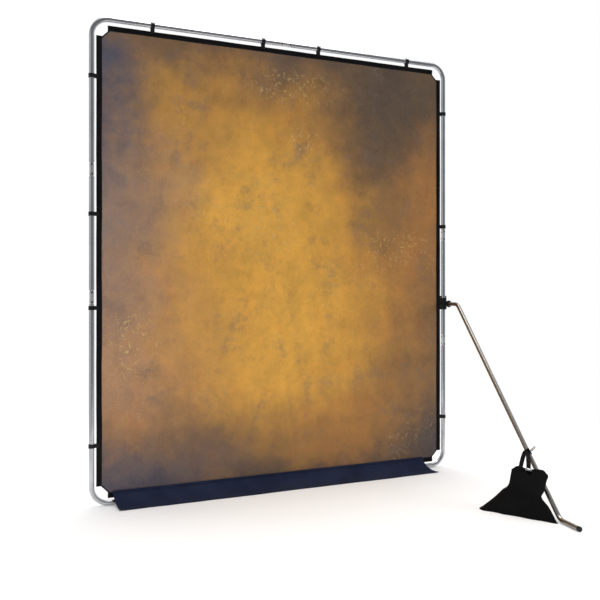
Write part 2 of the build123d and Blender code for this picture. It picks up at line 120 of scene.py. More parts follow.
def noise(material, where, scale, detail=4.0, rough=0.55):
    """A cloud of values from 0 to 1, with its lumps 1/scale metres apart."""
    settings = {"Vector": where, "Scale": scale, "Detail": detail, "Roughness": rough}
    return node(material, "ShaderNodeTexNoise", settings).outputs[0]


def stretch(material, value, low, high, to_low=0.0, to_high=1.0):
    """Maps low..high to to_low..to_high, smoothly, and holds it there outside."""
    inputs = {"Value": value, "From Min": low, "From Max": high, "To Min": to_low, "To Max": to_high}
    return node(material, "ShaderNodeMapRange", inputs, interpolation_type="SMOOTHSTEP").outputs[0]


def mix(material, share, first, second, blend="MIX"):
    """first with a share of second laid over it."""
    made = node(material, "ShaderNodeMix", {}, data_type="RGBA", blend_type=blend)
    for socket, value in ((made.inputs[0], share), (made.inputs[6], first), (made.inputs[7], second)):
        if isinstance(value, bpy.types.NodeSocket):
            material.node_tree.links.new(value, socket)
        else:
            socket.default_value = (*value, 1) if isinstance(value, tuple) else value
    return made.outputs[2]


def bump(material, shader, height, strength, distance):
    """Raises the surface by distance where height is 1."""
    inputs = {"Height": height, "Strength": strength, "Distance": distance}
    made = node(material, "ShaderNodeBump", inputs)
    material.node_tree.links.new(made.outputs[0], shader.inputs["Normal"])


# %% [markdown]
# The floor is a plain matt sheet that fades out into the white around it, so no horizon shows. What the
# camera sees of the world is white. What the metal sees is white only at the far end and grey behind the
# camera, with one paler panel on the left, and that gives a bright tube its light and dark streaks.
# Two large soft lights stand in front, one high on the left and one on the right, and a third is above.

# %% Lay the floor and set the lights
FLOOR_HALF = 6.0
FADE_FROM, FADE_TO = 1.5, 3.3
floor_mesh = bpy.data.meshes.new("floor")
corners = np.array([(-1, -1, 0), (1, -1, 0), (1, 1, 0), (-1, 1, 0)]) * FLOOR_HALF
floor_mesh.from_pydata(corners.tolist(), [], [(0, 1, 2, 3)])
floor = bpy.data.objects.new("floor", floor_mesh)
bpy.context.scene.collection.objects.link(floor)
floor_finish, floor_shader = new_material("floor_white", (0.94, 0.94, 0.94), roughness=0.9,
                                           emission_color=(1, 1, 1, 1), emission_strength=0.09)
from_middle = node(floor_finish, "ShaderNodeVectorMath", {0: place(floor_finish)}, operation="LENGTH")
floor_finish.node_tree.links.new(
    stretch(floor_finish, from_middle.outputs["Value"], FADE_FROM, FADE_TO, 1.0, 0.0),
    floor_shader.inputs["Alpha"])
floor_mesh.materials.append(floor_finish)

WHITE_WALL_WAY = (0.419, 0.908, 0.25)
PANEL_WAY, PANEL_GLOW = (-0.94, -0.33, 0.08), 0.72
CAMERA_SIDE = 0.24
world = bpy.data.worlds.new("studio")
bpy.context.scene.world = world
world.use_nodes = True
sky = world.node_tree.nodes["Background"]
way = node(world, "ShaderNodeTexCoord", {}).outputs["Generated"]
toward_wall = node(world, "ShaderNodeVectorMath", {0: way, 1: WHITE_WALL_WAY}, operation="DOT_PRODUCT")
shade = stretch(world, toward_wall.outputs["Value"], -0.35, 0.55, CAMERA_SIDE, 1.0)
toward_panel = node(world, "ShaderNodeVectorMath", {0: way, 1: PANEL_WAY}, operation="DOT_PRODUCT")
panel = stretch(world, toward_panel.outputs["Value"], 0.82, 0.96, 0.0, PANEL_GLOW)
shade = node(world, "ShaderNodeMath", {0: shade, 1: panel}, operation="MAXIMUM").outputs[0]
seen = node(world, "ShaderNodeLightPath", {}).outputs["Is Camera Ray"]
strength = node(world, "ShaderNodeMath", {0: shade, 1: seen}, operation="MAXIMUM").outputs[0]
world.node_tree.links.new(strength, sky.inputs["Strength"])
sky.inputs["Color"].default_value = (1, 1, 1, 1)
bpy.context.scene.view_settings.view_transform = "Standard"


def soft_light(name, location, target, size, power):
    """A square area light that faces its target."""
    data = bpy.data.lights.new(name, "AREA")
    data.size = size
    data.energy = power
    light = bpy.data.objects.new(name, data)
    light.location = location
    way = np.array(target, float) - np.array(location, float)
    across = np.hypot(way[0], way[1])
    light.rotation_euler = (np.arctan2(across, -way[2]), 0, np.arctan2(-way[0], way[1]))
    bpy.context.scene.collection.objects.link(light)
    return light


LIGHTS = (  # name, place, target, size in metres, power in watts, and whether metal mirrors it
    ("key_light", (-3.6, -4.2, 3.4), (0, 0, 1.1), 2.4, 104, False),
    ("fill_light", (3.4, -4.0, 2.2), (0.3, 0, 1.0), 1.3, 46, False),
    ("top_light", (0.5, 0.5, 5.5), (0, 0, 0.0), 3.2, 150, True),
)
for *setting, mirrored in LIGHTS:
    soft_light(*setting).visible_glossy = mirrored

# %% [markdown]
# ## Metal and plastic
# Drawn aluminium tube is bright. A broad noise dulls it in places, as handling does, and a fine noise
# gives it a grain. The leg is an older, warmer grey tube. The hinge links are castings, so they are duller
# all over, and the bag's ring is a darker steel than the snap hook.


# %% Finishes for the hard parts
WORN_TONE, WORN_ROUGHNESS = 0.62, 0.14  # what a worn place multiplies the tone by and adds


def metal(name, colour, roughness, grain, wear):
    """Metal with a fine grain, whose tone and roughness vary broadly, as where it is handled."""
    material, shader = new_material(name, colour, metallic=1.0, roughness=roughness)
    where = place(material)
    fine = noise(material, where, grain, 3.0)
    broad = noise(material, where, 9.0, 5.0)
    tone = mix(material, stretch(material, broad, 0.35, 0.75, 0.0, wear), colour,
               tuple(c * WORN_TONE for c in colour))
    links = material.node_tree.links
    links.new(tone, shader.inputs["Base Color"])
    rougher = stretch(material, broad, 0.3, 0.7, roughness, roughness + WORN_ROUGHNESS)
    links.new(rougher, shader.inputs["Roughness"])
    bump(material, shader, fine, 0.12, 0.0002)
    return material


def plastic(name, colour, roughness):
    """Moulded plastic: a fine pebbled grain and a little dust in the tone."""
    material, shader = new_material(name, colour, roughness=roughness, specular_ior_level=0.22)
    where = place(material)
    dust = stretch(material, noise(material, where, 35.0, 5.0), 0.4, 0.8, 0.0, 0.35)
    material.node_tree.links.new(
        mix(material, dust, colour, tuple(c * 1.8 + 0.01 for c in colour)), shader.inputs["Base Color"])
    bump(material, shader, noise(material, where, 1400.0, 2.0), 0.25, 0.0002)
    return material


frame_tube = metal("bright_tube", (0.56, 0.57, 0.60), 0.15, 700.0, 0.5)
leg_tube = metal("warm_grey_tube", (0.34, 0.325, 0.305), 0.2, 700.0, 0.5)
casting = metal("cast_link", (0.66, 0.66, 0.68), 0.38, 1200.0, 0.2)
pin_metal = metal("pin_steel", (0.10, 0.10, 0.11), 0.35, 900.0, 0.3)
polished = metal("polished_steel", (0.80, 0.80, 0.81), 0.10, 900.0, 0.25)
ring_steel = metal("ring_steel", (0.42, 0.42, 0.44), 0.22, 900.0, 0.3)
black_plastic = plastic("black_plastic", (0.008, 0.008, 0.009), 0.42)
liner_plastic = plastic("liner_plastic", (0.06, 0.06, 0.065), 0.5)
print("hard finishes", len(bpy.data.materials) - 1)

# %% [markdown]
# A node's name says which finish it takes. The list is read from the top, and the first ending that fits
# is used, so the leg's tubes come before the frame's.

# %% Give each hard node its finish
FINISHES = (
    ("leg_upper_tube", leg_tube), ("leg_lower_tube", leg_tube), ("_tube", frame_tube),
    ("hinge_link", casting), ("hinge_ends", casting), ("hinge_pins", pin_metal),
    ("_button", polished), ("hook_body", polished), ("hook_gate", polished), ("bag_ring", ring_steel),
    ("clips", black_plastic), ("_clip", black_plastic), ("clamp_body", black_plastic),
    ("clamp_screw", black_plastic), ("socket_collar", black_plastic), ("foot_cap", black_plastic),
    ("clamp_liner", liner_plastic),
)
for name, cad_node in nodes.items():
    found = [material for ending, material in FINISHES if name.endswith(ending)]
    if found:
        cad_node.data.materials.clear()
        cad_node.data.materials.append(found[0])
print("nodes with a hard finish", sum(1 for n in nodes if any(n.endswith(e) for e, _ in FINISHES)))

# %% [markdown]
# ## From a formula to a mesh
# Every soft piece is a grid of points, rows by columns, worked out with numpy as whole arrays. One helper
# joins the grid's points with four-sided faces. A tube closes its columns into a ring, and its ends are
# filled with a fan. Curves run through a few given points, and a path knows its direction at each point.


# %% Helpers for surfaces
def grid_faces(rows, columns, closed):
    """Point (r, c) has number r * columns + c, and each face joins it to its next in row and column."""
    r = np.arange(rows - 1)[:, None]
    c = np.arange(columns if closed else columns - 1)[None, :]
    after = (c + 1) % columns
    first = r * columns
    square = np.stack([first + c, first + after, first + columns + after, first + columns + c], -1)
    return square.reshape(-1, 4)


def piece(name, points, material, closed=False, capped=False, uv=None):
    """A mesh from a grid of points; uv gives each grid point its place on the flat cloth, in metres."""
    rows, columns, _ = points.shape
    flat = points.reshape(-1, 3)
    faces = grid_faces(rows, columns, closed).tolist()
    if capped:
        flat = np.vstack([flat, points[0].mean(0), points[-1].mean(0)])
        c = np.arange(columns)
        after, base, last = (c + 1) % columns, rows * columns, (rows - 1) * columns
        faces += np.stack([after, c, np.full(columns, base)], -1).tolist()
        faces += np.stack([last + c, last + after, np.full(columns, base + 1)], -1).tolist()
    mesh = bpy.data.meshes.new(name)
    mesh.from_pydata(flat.tolist(), [], faces)
    if uv is not None:
        corner = np.empty(len(mesh.loops), int)
        mesh.loops.foreach_get("vertex_index", corner)
        mesh.uv_layers.new(name="flat").data.foreach_set("uv", uv.reshape(-1, 2)[corner].ravel())
    mesh.polygons.foreach_set("use_smooth", np.ones(len(mesh.polygons), bool))
    mesh.materials.append(material)
    made = bpy.data.objects.new(name, mesh)
    bpy.context.scene.collection.objects.link(made)
    return made


def thicken(made, thickness):
    """Gives a sheet its wall, half of it on each side."""
    wall = made.modifiers.new("wall", "SOLIDIFY")
    wall.thickness = thickness
    wall.offset = 0


def bell(value, centre, width):
    """A smooth hump: 1 at the centre, falling as exp(-(distance / width) squared)."""
    return np.exp(-(((value - centre) / width) ** 2))


def smooth_curve(points, count):
    """A Catmull-Rom curve: between two points it is the cubic whose slopes point past its neighbours."""
    ends = np.vstack([2 * points[0] - points[1], points, 2 * points[-1] - points[-2]])
    t = np.linspace(0, len(points) - 1 - 1e-9, count)
    i = t.astype(int)
    f = (t - i)[:, None]
    a, b, c, d = ends[i], ends[i + 1], ends[i + 2], ends[i + 3]
    return 0.5 * (2 * b + (c - a) * f + (2 * a - 5 * b + 4 * c - d) * f**2 + (3 * b - a - 3 * c + d) * f**3)


def squared(wave, power):
    """A sine or cosine held nearer its peaks, so that a circle turns squarer as power falls from 1."""
    return np.sign(wave) * np.abs(wave) ** power


def directions(path, closed=False):
    """The unit direction at each point of a path: from the point before it to the point after it."""
    after = np.roll(path, -1, 0) if closed else np.vstack([path[1:], 2 * path[-1] - path[-2]])
    before = np.roll(path, 1, 0) if closed else np.vstack([2 * path[0] - path[1], path[:-1]])
    way = after - before
    return way / np.linalg.norm(way, axis=1)[:, None]


# %% [markdown]
# ## The painted cloth
# The cloth is painted by hand with sponges, so its colours are soft clouds laid over each other, and the
# brush has left fine light scratches. Each cloud is a soft ellipse with a place, a size and a colour. The
# coordinates are first pushed about by a slow noise, which makes the ellipses ragged. Finer noises then
# mottle it and dust it with slate and rust, and the finest is the canvas's own thread.

# %% Paint the cloth
GOLD, BRIGHT_GOLD, OCHRE = (0.55, 0.290, 0.060), (0.70, 0.385, 0.082), (0.375, 0.180, 0.066)
TAN, BROWN, DARK_BROWN = (0.42, 0.245, 0.150), (0.205, 0.126, 0.068), (0.098, 0.076, 0.062)
SLATE, BLUE_SLATE, MAUVE = (0.074, 0.066, 0.072), (0.086, 0.088, 0.125), (0.250, 0.190, 0.172)
SCRATCH_GOLD, SLATE_DUST = (0.66, 0.46, 0.18), (0.165, 0.130, 0.115)
RAGGED = 0.62  # how far the slow noise pushes the clouds about, in metres
ANY_DEPTH = 1e3  # a half depth so large that depth makes no difference
CLOUDS = (  # across, height, half width, half height, colour, strength
    (0.05, 1.05, 1.25, 1.30, OCHRE, 1.0),
    (-0.70, 0.95, 0.65, 0.95, TAN, 0.85),
    (0.00, 1.05, 0.85, 1.15, GOLD, 1.0),
    (0.02, 0.78, 0.55, 0.50, BRIGHT_GOLD, 0.70),
    (-0.22, 1.48, 0.45, 0.42, BRIGHT_GOLD, 0.80),
    (0.12, 1.30, 0.38, 0.45, BRIGHT_GOLD, 0.25),
    (-1.02, 1.35, 0.34, 0.80, MAUVE, 0.9),
    (-0.62, 1.50, 0.26, 0.26, MAUVE, 0.35),
    (-1.04, 1.78, 0.17, 0.42, BLUE_SLATE, 0.80),
    (-0.58, 1.95, 0.32, 0.30, GOLD, 0.55),
    (-0.10, 1.80, 0.30, 0.26, GOLD, 0.45),
    (-1.02, 2.12, 0.36, 0.42, BLUE_SLATE, 0.95),
    (-0.50, 2.30, 0.70, 0.16, BROWN, 0.75),
    (0.20, 2.30, 0.90, 0.22, SLATE, 0.70),
    (0.66, 2.05, 0.58, 0.46, DARK_BROWN, 0.95),
    (0.60, 1.66, 0.26, 0.34, DARK_BROWN, 0.65),
    (0.58, 1.36, 0.22, 0.20, BROWN, 0.55),
    (0.92, 1.50, 0.26, 0.44, OCHRE, 0.75),
    (0.72, 1.12, 0.34, 0.26, OCHRE, 0.55),
    (0.98, 0.80, 0.26, 0.60, BROWN, 0.60),
    (0.66, 0.52, 0.30, 0.20, BROWN, 0.55),
    (0.00, -0.02, 1.30, 0.46, BROWN, 0.80),
    (0.32, 0.24, 0.30, 0.24, OCHRE, 0.65),
    (-0.50, 0.32, 0.30, 0.22, SLATE, 0.45),
    (-0.80, 0.04, 0.62, 0.28, BLUE_SLATE, 0.85),
    (-0.92, 0.62, 0.22, 0.30, TAN, 0.60),
    (1.02, 0.10, 0.40, 0.36, SLATE, 1.0),
    (0.10, -0.02, 1.00, 0.16, SLATE, 0.55),
)


def ellipse(material, where, x, z, half_wide, half_high):
    """How far a point is from (x, z), where 1 is the edge of the ellipse with these half sizes."""
    spot = node(material, "ShaderNodeMapping", {"Vector": where, "Location": (x, 0, z),
                "Scale": (half_wide, ANY_DEPTH, half_high)}, vector_type="TEXTURE")
    return node(material, "ShaderNodeVectorMath", {0: spot.outputs[0]}, operation="LENGTH").outputs["Value"]


def painted_canvas():
    """Clouds over a base, then mottling, dabs, dust of two colours, scratches and thread."""
    material, shader = new_material("painted_canvas", GOLD, roughness=0.85, specular_ior_level=0.10)
    where = place(material)
    slow = node(material, "ShaderNodeTexNoise", {"Vector": where, "Scale": 3.2, "Detail": 8.0,
                                                 "Roughness": 0.66})
    centred = node(material, "ShaderNodeVectorMath", {0: slow.outputs["Color"], 1: (0.5, 0.5, 0.5)},
                   operation="SUBTRACT")
    pushed = node(material, "ShaderNodeVectorMath",
                  {0: centred.outputs[0], 1: (RAGGED, 0.0, RAGGED), 2: where}, operation="MULTIPLY_ADD")
    colour = BROWN
    for x, z, half_wide, half_high, paint, strength in CLOUDS:
        far = ellipse(material, pushed.outputs[0], x, z, half_wide, half_high)
        share = stretch(material, far, 0.05, 1.30, strength, 0.0)
        colour = mix(material, share, colour, paint)
    mottle = stretch(material, noise(material, where, 7.0, 9.0, 0.68), 0.33, 0.67)
    colour = mix(material, mottle, colour, mix(material, 1.0, colour, (1.25, 1.18, 1.05), "MULTIPLY"))
    dabs = stretch(material, noise(material, place(material, (1, 1, 0.8)), 11.0, 9.0, 0.74), 0.48, 0.74)
    colour = mix(material, dabs, colour, mix(material, 1.0, colour, (0.80, 0.81, 0.88), "MULTIPLY"))
    slate_dust = stretch(material, noise(material, where, 5.0, 12.0, 0.76), 0.50, 0.68, 0.0, 0.50)
    colour = mix(material, slate_dust, colour, SLATE_DUST)
    rust_dust = noise(material, place(material, (1.1, 1, 0.7)), 6.3, 12.0, 0.78)
    rust_dust = stretch(material, rust_dust, 0.51, 0.68, 0.0, 0.40)
    colour = mix(material, rust_dust, colour, mix(material, 1.0, colour, (1.12, 0.86, 0.72), "MULTIPLY"))
    colour = mix(material, scratches(material, where), colour, SCRATCH_GOLD)
    grain = stretch(material, noise(material, where, 260.0, 3.0), 0.3, 0.7, 0.86, 1.10)
    colour = mix(material, 1.0, colour, grain, "MULTIPLY")
    material.node_tree.links.new(colour, shader.inputs["Base Color"])
    bump(material, shader, noise(material, where, 900.0, 2.0), 0.3, 0.0004)
    return material


SCRATCHED = (  # across, height, half width, half height
    (0.66, 1.24, 0.26, 0.13), (0.05, 2.06, 0.30, 0.12), (-0.08, 1.32, 0.20, 0.20),
    (0.10, 1.78, 0.14, 0.12), (-0.80, 0.75, 0.16, 0.26),
)


def scratches(material, where):
    """Thin light lines: where a twisted noise crosses its middle value, in patches only."""
    twisted = node(material, "ShaderNodeTexNoise", {"Vector": where, "Scale": 12.0, "Detail": 3.0,
                                                    "Distortion": 2.4}).outputs[0]
    off = node(material, "ShaderNodeMath", {0: twisted, 1: 0.5}, operation="SUBTRACT").outputs[0]
    off = node(material, "ShaderNodeMath", {0: off}, operation="ABSOLUTE").outputs[0]
    line = stretch(material, off, 0.0, 0.026, 1.0, 0.0)
    patch = stretch(material, noise(material, where, 2.3, 4.0), 0.54, 0.66, 0.0, 0.45)
    for x, z, half_wide, half_high in SCRATCHED:
        near = stretch(material, ellipse(material, where, x, z, half_wide, half_high), 0.3, 1.2, 0.9, 0.0)
        patch = node(material, "ShaderNodeMath", {0: patch, 1: near}, operation="MAXIMUM").outputs[0]
    broken = stretch(material, noise(material, where, 40.0, 3.0), 0.44, 0.56)
    line = node(material, "ShaderNodeMath", {0: line, 1: patch}, operation="MULTIPLY").outputs[0]
    return node(material, "ShaderNodeMath", {0: line, 1: broken}, operation="MULTIPLY").outputs[0]


canvas = painted_canvas()
print("canvas nodes", len(canvas.node_tree.nodes))


# %% [markdown]
# Hems, skirt, bag and straps are woven too, but of one colour. A weave is two sets of ridges at right
# angles. Its bump is small and its sheen is soft, so black cloth still shows its folds.


# %% Plain woven cloths
ONE_WAVE = 0.314  # the wave texture's scale at which it repeats once in a metre


def woven(name, colour, lighter, pitch, sheen, roughness=0.8):
    """Two crossed waves, pitch metres apart, raise the threads, a slow noise fades the dye, and painted
    shade darkens the grooves between the threads.
    """
    material, shader = new_material(name, colour, roughness=roughness, sheen_weight=sheen,
                                    specular_ior_level=0.12)
    where = place(material)
    threads = []
    for direction in ("X", "Z"):
        threads.append(node(material, "ShaderNodeTexWave", {"Vector": where, "Scale": ONE_WAVE / pitch},
                            bands_direction=direction).outputs["Fac"])
    weave = node(material, "ShaderNodeMath", {0: threads[0], 1: threads[1]}, operation="MAXIMUM").outputs[0]
    faded = stretch(material, noise(material, where, 6.0, 6.0), 0.35, 0.7)
    tone = mix(material, faded, colour, lighter)
    # painted shade: the low grooves between the raised threads are darkened towards black
    tone = mix(material, stretch(material, weave, 0.0, 1.0, 0.35, 0.0), tone, (0.0, 0.0, 0.0))
    material.node_tree.links.new(tone, shader.inputs["Base Color"])
    bump(material, shader, weave, 0.35, pitch * 0.25)
    return material


hem_black = woven("hem_tape", (0.004, 0.004, 0.005), (0.008, 0.008, 0.009), 0.0012, 0.015)
skirt_navy = woven("skirt_cloth", (0.014, 0.019, 0.046), (0.022, 0.029, 0.064), 0.0012, 0.02)
bag_black = woven("bag_cloth", (0.0012, 0.0012, 0.0015), (0.003, 0.003, 0.0035), 0.0016, 0.006, 0.6)
webbing_black = woven("webbing", (0.0015, 0.0015, 0.002), (0.004, 0.004, 0.0045), 0.0022, 0.006)
thread_grey = plastic("sewing_thread", (0.05, 0.05, 0.055), 0.6)

# %% [markdown]
# The cloth is a sheet with its four corners cut off. Each row is as wide as the sheet is at that height,
# so the cut corners are straight lines and no face is left over. Its clips pull on its edge, and between
# them faint folds run inwards that die out towards the middle.

# %% Make the cloth
cloth_low, cloth_high = (np.array(c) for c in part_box("cover_cloth"))
CORNER_CUT = 0.042
ROWS, COLUMNS = 190, 160
FOLD_DEPTH = 0.0011
CLOTH_WALL = 0.0012
FOLD_REACH, EDGE_REACH = 0.10, 0.03


def cloth_surface():
    """x is u times the half width at that height; y is a sum of shallow folds that fade inwards."""
    v = np.linspace(0, 1, ROWS)[:, None]
    u = np.linspace(-1, 1, COLUMNS)[None, :]
    z = cloth_low[2] + v * (cloth_high[2] - cloth_low[2])
    to_end = np.minimum(z - cloth_low[2], cloth_high[2] - z)
    half = cloth_high[0] - np.clip(CORNER_CUT - to_end, 0, None)
    x = u * half
    z = z + 0 * u
    side = np.exp(-(1 - np.abs(u)) * half / FOLD_REACH)
    end = np.exp(-to_end / FOLD_REACH)
    folds = side * np.sin(z * 11.0 + 2.0 * u) + end * np.sin(x * 12.5 + 1.0)
    folds = folds + 0.7 * np.sin(2.1 * x + 3.3 * z) * np.sin(2.7 * z)
    edge = np.clip((1 - np.abs(u)) * half / EDGE_REACH, 0, 1) * np.clip(to_end / EDGE_REACH, 0, 1)
    y = FOLD_DEPTH * folds * edge
    return np.stack([x, y, z], -1)


cloth_points = cloth_surface()
cloth = piece("background_cloth", cloth_points, canvas)
thicken(cloth, CLOTH_WALL)

# %% [markdown]
# ## Hems
# A hem is a sleeve of tape with a rod in it. It is round where the rod is and thins to the edge that is
# sewn to the cloth, like a drop of water. The same closed profile is carried along each side. The clips
# hold it in line, and between them it bows inwards by about a millimetre. Short ferrules join the rods'
# sections, and they show as bumps.

# %% Helpers for hems
HEM_WIDTH = 0.0225
HEM_LAP = 0.005
ROD_PLACE = 0.0062
ROD_HALF = 0.0042
EDGE_HALF = 0.0011
FERRULE_HALF = 0.012
FERRULE_SWELL = 0.22
HEM_STEP = 0.012
BOWS = 4  # the number of times a hem bows between its clips
BOW_DEPTH, RIPPLE_DEPTH = 0.0007, 0.0002
END_ROUND = 0.004
THREAD_HALF, THREAD_RISE = 0.0004, 0.0005
FRONT = (0, -1, 0)


def hem_profile(count=20):
    """Points (inwards, out of the cloth) round a drop: half thickness falls from the rod to the edge."""
    turn = np.linspace(0, 2 * np.pi, count, endpoint=False)
    inwards = (HEM_WIDTH + HEM_LAP) * (0.5 - 0.5 * np.cos(turn))
    half = EDGE_HALF + (ROD_HALF - EDGE_HALF) * bell(inwards, ROD_PLACE, 0.0075)
    return np.stack([inwards, half * squared(np.sin(turn), 0.6)], -1)


def hem(name, start, end, inwards, bumps):
    """The drop profile along a straight edge; bumps are the ferrules' places along it, in metres."""
    start, end, inwards = (np.array(p, float) for p in (start, end, inwards))
    length = np.linalg.norm(end - start)
    along = (end - start) / length
    run = np.linspace(0, length, int(length / HEM_STEP))
    out = np.cross(along, inwards)
    out = out * np.sign(-out[1])
    profile = hem_profile()
    swell = 1 + sum(FERRULE_SWELL * bell(run, b, FERRULE_HALF) for b in bumps)
    bow = BOW_DEPTH * np.sin(np.pi * run / length * BOWS) ** 2 + RIPPLE_DEPTH * (1 + np.sin(run * 31.0))
    close = np.clip(np.minimum(run, length - run) / END_ROUND, 0.55, 1)
    across = profile[None, :, 0] + bow[:, None]
    thick = profile[None, :, 1] * (swell * close)[:, None]
    points = start + along * run[:, None, None] + inwards * across[..., None] + out * thick[..., None]
    return piece(name, points, hem_black, closed=True, capped=True)


def stitches(name, start, end, count):
    """A row of short threads from start to end on both faces of a hem, each a low six-sided bar."""
    start, end, out = (np.array(p, float) for p in (start, end, FRONT))
    along = (end - start) / np.linalg.norm(end - start)
    side = np.cross(along, out)
    middle = start + (end - start) * ((np.arange(count) + 0.5) / count)[:, None]
    stitch = np.linalg.norm(end - start) / count * 0.33
    corners = np.array([(-1, -1, 0), (1, -1, 0), (1, 1, 0), (-1, 1, 0),
                        (-0.7, -0.5, 1), (0.7, -0.5, 1), (0.7, 0.5, 1), (-0.7, 0.5, 1)], float)
    offset = corners[:, :1] * along * stitch + corners[:, 1:2] * side * THREAD_HALF
    faces = np.array([(3, 2, 1, 0), (4, 5, 6, 7), (0, 1, 5, 4), (1, 2, 6, 5), (2, 3, 7, 6), (3, 0, 4, 7)])
    points, quads = [], []
    for face in (1, -1):
        raised = (EDGE_HALF + corners[:, 2:] * THREAD_RISE) * out * face
        points.append((middle[:, None, :] + offset + raised).reshape(-1, 3))
        base = len(quads) * 8 * count + np.arange(count)[:, None, None] * 8
        quads.append((faces[None, :, ::face] + base).reshape(-1, 4))
    mesh = bpy.data.meshes.new(name)
    mesh.from_pydata(np.vstack(points).tolist(), [], np.vstack(quads).tolist())
    mesh.materials.append(thread_grey)
    made = bpy.data.objects.new(name, mesh)
    bpy.context.scene.collection.objects.link(made)
    return made


# %% [markdown]
# Each hem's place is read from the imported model's own hem, so the clips hold it where they should. The
# stitches run along the thin edge, where the needle goes through hem and cloth.

# %% Make the four hems
left_low, left_high = (np.array(c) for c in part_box("left_hem"))
top_low, top_high = (np.array(c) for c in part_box("top_hem"))
base_low, base_high = (np.array(c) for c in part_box("bottom_hem"))
SIDE_BUMPS = (1.053 - left_low[2], 1.235 - left_low[2])
TOP_BUMPS = (0.954, 1.029)
STITCH_PLACE = HEM_WIDTH + 0.002
SIDE_COUNT, END_COUNT = 420, 360
hems = {
    "left_hem": hem("left_edge_hem", (left_low[0], 0, left_low[2]), (left_low[0], 0, left_high[2]),
                    (1, 0, 0), SIDE_BUMPS),
    "right_hem": hem("right_edge_hem", (-left_low[0], 0, left_high[2]), (-left_low[0], 0, left_low[2]),
                     (-1, 0, 0), [left_high[2] - left_low[2] - b for b in SIDE_BUMPS]),
    "top_hem": hem("top_edge_hem", (top_low[0], 0, top_high[2]), (top_high[0], 0, top_high[2]),
                   (0, 0, -1), TOP_BUMPS),
    "bottom_hem": hem("bottom_edge_hem", (base_low[0], 0, base_low[2]), (base_high[0], 0, base_low[2]),
                      (0, 0, 1), TOP_BUMPS),
}
stitch_x = left_low[0] + STITCH_PLACE
stitch_top = top_high[2] - STITCH_PLACE
stitch_base = base_low[2] + STITCH_PLACE
ROW_ENDS = {  # the two ends of each row, and its number of stitches
    "left": ((stitch_x, 0, left_low[2]), (stitch_x, 0, left_high[2]), SIDE_COUNT),
    "right": ((-stitch_x, 0, left_low[2]), (-stitch_x, 0, left_high[2]), SIDE_COUNT),
    "top": ((top_low[0], 0, stitch_top), (top_high[0], 0, stitch_top), END_COUNT),
    "bottom": ((base_low[0], 0, stitch_base), (base_high[0], 0, stitch_base), END_COUNT),
}
rows_of_stitches = {f"{side}_hem": stitches(f"{side}_stitches", *row) for side, row in ROW_ENDS.items()}
print("hems", len(hems))

# %% [markdown]
# The cut corners have no rod, only a narrow folded tape that binds the edge.


# %% Bind the cut corners
BINDING_HALF_WIDTH, BINDING_HALF_THICKNESS = 0.0035, 0.0016


def binding(name, start, end):
    """A thin flat oval carried along a cut corner, over the cloth's edge."""
    start, end = np.array(start, float), np.array(end, float)
    along = (end - start) / np.linalg.norm(end - start)
    side = np.cross(along, (0, 1, 0))
    turn = np.linspace(0, 2 * np.pi, 12, endpoint=False)
    run = np.linspace(0, 1, 14)[:, None, None] * (end - start)
    loop = (np.cos(turn)[:, None] * side * BINDING_HALF_WIDTH
            + np.sin(turn)[:, None] * np.array((0, 1, 0)) * BINDING_HALF_THICKNESS)
    return piece(name, start + run + loop, hem_black, closed=True, capped=True)


half_cloth = cloth_high[0]
bindings = []
CORNERS = (  # name, which side, the height of the cloth's end there, and the way to its middle
    ("top_left", -1, cloth_high[2], -1), ("top_right", 1, cloth_high[2], -1),
    ("bottom_left", -1, cloth_low[2], 1), ("bottom_right", 1, cloth_low[2], 1),
)
for name, sx, z_edge, z_way in CORNERS:
    corner_start = (sx * (half_cloth - CORNER_CUT), 0, z_edge)
    corner_end = (sx * half_cloth, 0, z_edge + z_way * CORNER_CUT)
    bindings.append(binding(name + "_binding", corner_start, corner_end))

# %% [markdown]
# The uprights fold, and the real cover is taken off its clips first. Here the cloth, its hems, its rods
# and its stitches all ride on the base. A rod is the packed model's own, copied, because a imported
# node keeps its shape.


def sink(made):
    """Rides on the base, with a mesh of its own."""
    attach(made, "frame_base")
    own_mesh(made)


rods = []
for name in ("left_hem_rod", "right_hem_rod", "top_hem_rod"):
    rod = bpy.data.objects.new(name + "_in_hem", nodes[name].data.copy())
    rod.data.materials.clear()
    rod.data.materials.append(liner_plastic)
    bpy.context.scene.collection.objects.link(rod)
    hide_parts(name)
    rods.append(rod)
nodes["bottom_hem_rod"].data.materials.clear()
nodes["bottom_hem_rod"].data.materials.append(liner_plastic)
for soft in [cloth, *rods, *bindings]:
    sink(soft)
for name in hems:
    for soft in (hems[name], rows_of_stitches[name]):
        if name == "bottom_hem":
            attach(soft, "frame_base")
        else:
            sink(soft)
    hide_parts(name)
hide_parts("cover_cloth")

# %% [markdown]
# ## The floor skirt
# The skirt is a strip of heavy navy cloth. It hangs from the bottom hem, turns forwards in a soft bend and
# lies on the floor. Its section is a smooth curve through a few points, and it changes along its length:
# the cloth ripples, its left end curls up and round, and its right end flares out to a point.

# %% Make the skirt
skirt_low, skirt_high = (np.array(c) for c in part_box("floor_skirt"))
SKIRT_SECTION = np.array([(-0.0068, 0.0660), (-0.0085, 0.0520), (-0.0190, 0.0330), (-0.0400, 0.0160),
                          (-0.0680, 0.0052), (-0.0980, 0.0020), (-0.1240, 0.0014)])
SKIRT_WALL = 0.0016
SKIRT_RIPPLE = 0.0016
LEFT_OUT, LONGER = 0.008, 0.004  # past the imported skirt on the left, and in all
LEFT_END_SHARE, RIGHT_END_SHARE = 0.05 / 1.75, 0.10 / 1.75
SKIRT_ROWS, SKIRT_COLUMNS = 48, 260


